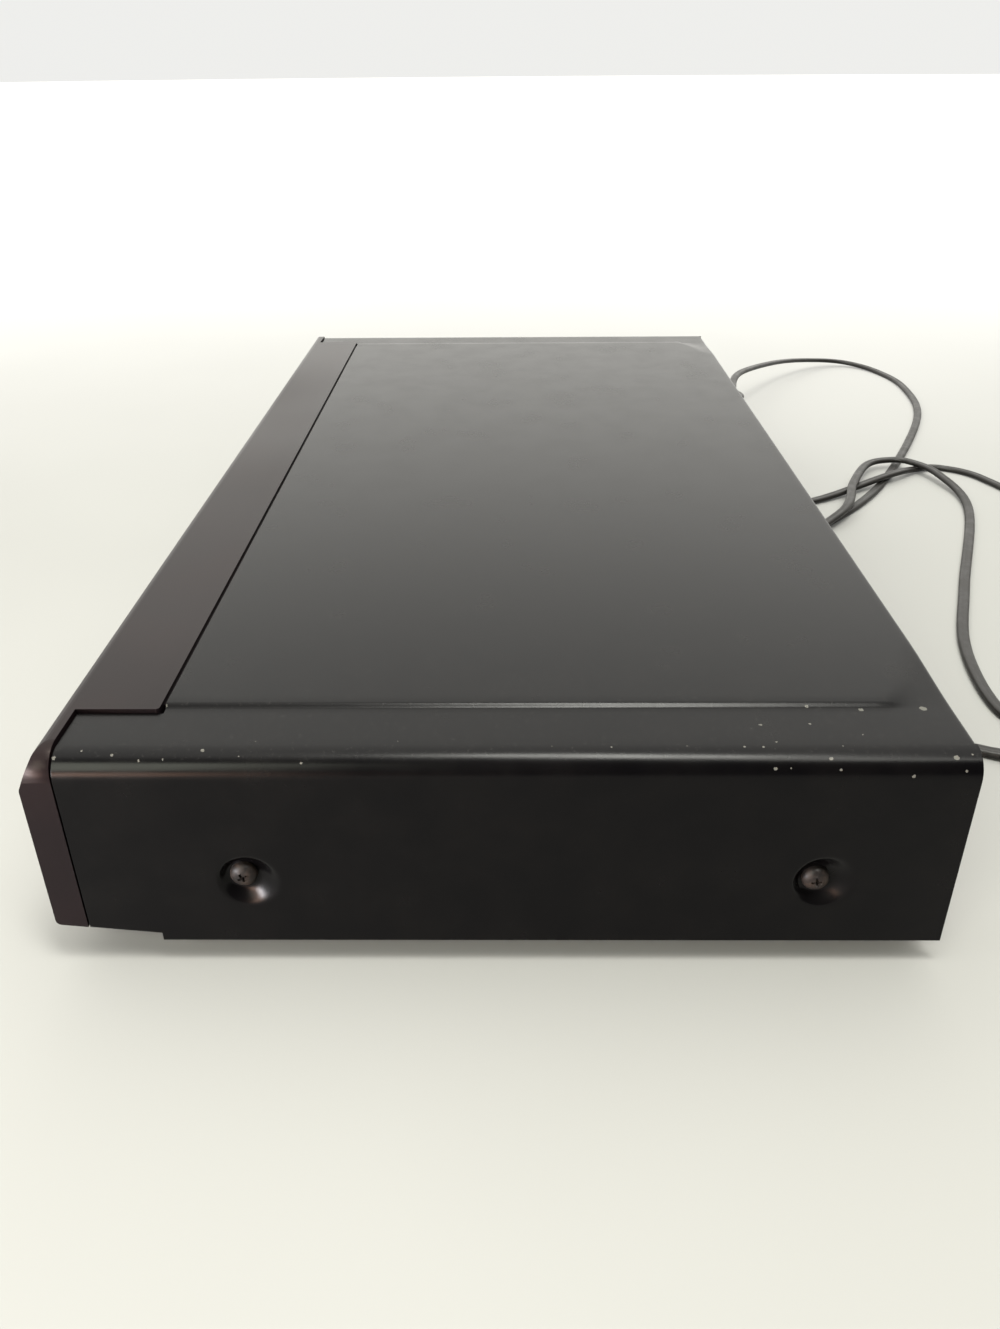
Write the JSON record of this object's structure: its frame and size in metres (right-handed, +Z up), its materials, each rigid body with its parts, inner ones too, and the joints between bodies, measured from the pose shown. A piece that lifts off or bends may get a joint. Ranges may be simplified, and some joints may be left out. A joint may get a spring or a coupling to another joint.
{
  "type": "dvd player with tray",
  "caption": "Full-width black disc player with a geared sliding tray, tilting playing unit, sprung keys, rear jacks and a captive flat mains lead.",
  "frame": {"origin": "on the surface that the feet stand on, under the middle of the case's length and depth (mains lead left out)", "axes": "+X to the player's right-hand side (seen from the front), +Y to the rear, +Z up"},
  "size_m": [0.6049, 0.3923, 0.064],
  "materials": {
    "cover_steel": "satin, fine texture",
    "bezel_plastic": "fine texture, slightly brown black",
    "chassis_zinc": "zinc plated",
    "rear_steel": "satin",
    "foot_plastic": "moulded",
    "pad_rubber": "matt",
    "screw_black": "black oxide",
    "screw_zinc": "zinc plated",
    "window_smoke": "polished, smoked",
    "display_glass": "glass tube",
    "light_guide": "clear red",
    "board_green": "solder mask",
    "board_tan": "paper laminate",
    "switch_grey": "moulded",
    "key_plastic": "satin",
    "frame_plastic": "moulded",
    "tray_plastic": "moulded, fine texture",
    "gear_plastic": "natural acetal",
    "gear_grey": "acetal",
    "belt_rubber": "matt",
    "motor_steel": "zinc plated",
    "pulley_brass": "turned",
    "bridge_steel": "zinc plated",
    "turntable_plastic": "rubber faced",
    "sled_zinc": "die cast",
    "lens_black": "moulded, clear lens",
    "parts_black": "moulded packages",
    "transformer_tape": "taped ferrite",
    "capacitor_sleeve": "sleeved cans",
    "sink_aluminium": "extruded",
    "jack_parts": "moulded block, plated barrels",
    "ribbon_white": "flat cable",
    "harness_red": "insulated wires",
    "cord_black": "soft vinyl",
    "plug_black": "moulded vinyl, brass blades"
  },
  "bodies": {
    "case": {"top_cover": "cover_steel", "front_bezel": "bezel_plastic", "chassis_base": "chassis_zinc", "rear_panel": "rear_steel", "foot_front_left": "foot_plastic", "foot_front_right": "foot_plastic", "foot_rear_left": "foot_plastic", "foot_rear_right": "foot_plastic", "foot_pads": "pad_rubber", "cover_screws": "screw_black", "rear_screws": "screw_black", "board_screws": "screw_zinc", "loader_screws": "screw_zinc", "display_window": "window_smoke", "display_module": "display_glass", "standby_light": "light_guide", "front_board": "board_green", "key_switches": "switch_grey", "loader_frame": "frame_plastic", "drive_belt": "belt_rubber", "loading_motor": "motor_steel", "clamp_bridge": "bridge_steel", "main_board": "board_green", "main_parts": "parts_black", "power_board": "board_tan", "transformer": "transformer_tape", "power_capacitors": "capacitor_sleeve", "heat_sink": "sink_aluminium", "phono_jacks": "jack_parts", "video_jack": "jack_parts", "loader_ribbon": "ribbon_white", "front_ribbon": "ribbon_white", "power_harness": "harness_red", "strain_relief": "plug_black", "power_cord": "cord_black", "power_plug": "plug_black"},
    "tray": {"disc_tray": "tray_plastic", "tray_door": "bezel_plastic"},
    "drive_gear": {"drive_gear": "gear_plastic"},
    "pulley_gear": {"pulley_gear": "gear_grey"},
    "motor_pulley": {"motor_pulley": "pulley_brass"},
    "cam_slider": {"cam_slider": "gear_plastic"},
    "traverse": {"traverse_frame": "frame_plastic", "spindle_motor": "motor_steel", "guide_rods": "motor_steel", "sled_motor": "motor_steel"},
    "turntable": {"turntable": "turntable_plastic"},
    "sled": {"pickup_sled": "sled_zinc"},
    "lens": {"lens_holder": "lens_black"},
    "lead_screw": {"lead_screw": "motor_steel"},
    "clamper": {"clamper": "gear_plastic"},
    "power_button": {"power_button": "key_plastic"},
    "open_close_button": {"open_close_button": "key_plastic"},
    "play_button": {"play_button": "key_plastic"},
    "pause_button": {"pause_button": "key_plastic"},
    "stop_button": {"stop_button": "key_plastic"},
    "skip_back_button": {"skip_back_button": "key_plastic"},
    "skip_forward_button": {"skip_forward_button": "key_plastic"}
  },
  "joints": [
    {"name": "tray_slide", "type": "slide", "parent": "case", "child": "tray", "axis": [0, -1, 0], "range_m": [0, 0.14]},
    {"name": "drive_gear_spin", "type": "hinge", "parent": "case", "child": "drive_gear", "pos_m": [0.008, -0.082, 0.032], "axis": [0, 0, -1], "range_deg": [0, 573.5]},
    {"name": "pulley_gear_spin", "type": "hinge", "parent": "case", "child": "pulley_gear", "pos_m": [-0.013, -0.082, 0.027], "axis": [0, 0, 1], "range_deg": [0, 1146.9]},
    {"name": "motor_pulley_spin", "type": "hinge", "parent": "case", "child": "motor_pulley", "pos_m": [-0.052, -0.0745, 0.026], "axis": [0, 0, 1], "range_deg": [0, 4587.7]},
    {"name": "cam_slide", "type": "slide", "parent": "case", "child": "cam_slider", "axis": [1, 0, 0], "range_m": [0, 0.015]},
    {"name": "traverse_lift", "type": "hinge", "parent": "case", "child": "traverse", "pos_m": [-0.03, 0.062, 0.031], "axis": [1, 0, 0], "range_deg": [0, 3.6]},
    {"name": "turntable_spin", "type": "hinge", "parent": "traverse", "child": "turntable", "pos_m": [-0.03, -0.04, 0.043], "axis": [0, 0, 1], "continuous": true},
    {"name": "clamper_spin", "type": "hinge", "parent": "case", "child": "clamper", "pos_m": [-0.03, -0.04, 0.054], "axis": [0, 0, 1], "continuous": true},
    {"name": "sled_slide", "type": "slide", "parent": "traverse", "child": "sled", "axis": [0, 1, 0], "range_m": [0, 0.034]},
    {"name": "lead_screw_spin", "type": "hinge", "parent": "traverse", "child": "lead_screw", "pos_m": [0.006, -0.006, 0.0325], "axis": [0, 1, 0], "range_deg": [0, 4084]},
    {"name": "lens_focus", "type": "slide", "parent": "sled", "child": "lens", "axis": [0, 0, 1], "range_m": [-0.0004, 0.0004], "stiffness_N_per_m": 60},
    {"name": "power_press", "type": "slide", "parent": "case", "child": "power_button", "axis": [0, 1, 0], "range_m": [0, 0.001], "stiffness_N_per_m": 1000, "springref_m": -0.0004},
    {"name": "open_close_press", "type": "slide", "parent": "case", "child": "open_close_button", "axis": [0, 1, 0], "range_m": [0, 0.001], "stiffness_N_per_m": 1000, "springref_m": -0.0004},
    {"name": "play_press", "type": "slide", "parent": "case", "child": "play_button", "axis": [0, 1, 0], "range_m": [0, 0.001], "stiffness_N_per_m": 1000, "springref_m": -0.0004},
    {"name": "pause_press", "type": "slide", "parent": "case", "child": "pause_button", "axis": [0, 1, 0], "range_m": [0, 0.001], "stiffness_N_per_m": 1000, "springref_m": -0.0004},
    {"name": "stop_press", "type": "slide", "parent": "case", "child": "stop_button", "axis": [0, 1, 0], "range_m": [0, 0.001], "stiffness_N_per_m": 1000, "springref_m": -0.0004},
    {"name": "skip_back_press", "type": "slide", "parent": "case", "child": "skip_back_button", "axis": [0, 1, 0], "range_m": [0, 0.001], "stiffness_N_per_m": 1000, "springref_m": -0.0004},
    {"name": "skip_forward_press", "type": "slide", "parent": "case", "child": "skip_forward_button", "axis": [0, 1, 0], "range_m": [0, 0.001], "stiffness_N_per_m": 1000, "springref_m": -0.0004}
  ],
  "couplings": [
    {"joint": "drive_gear_spin", "follows": "tray_slide", "rad_per_m": 71.429},
    {"joint": "pulley_gear_spin", "follows": "tray_slide", "rad_per_m": 142.86},
    {"joint": "motor_pulley_spin", "follows": "tray_slide", "rad_per_m": 571.43},
    {"joint": "traverse_lift", "follows": "cam_slide", "rad_per_m": 4.0724},
    {"joint": "lead_screw_spin", "follows": "sled_slide", "rad_per_m": 2094.4}
  ]
}
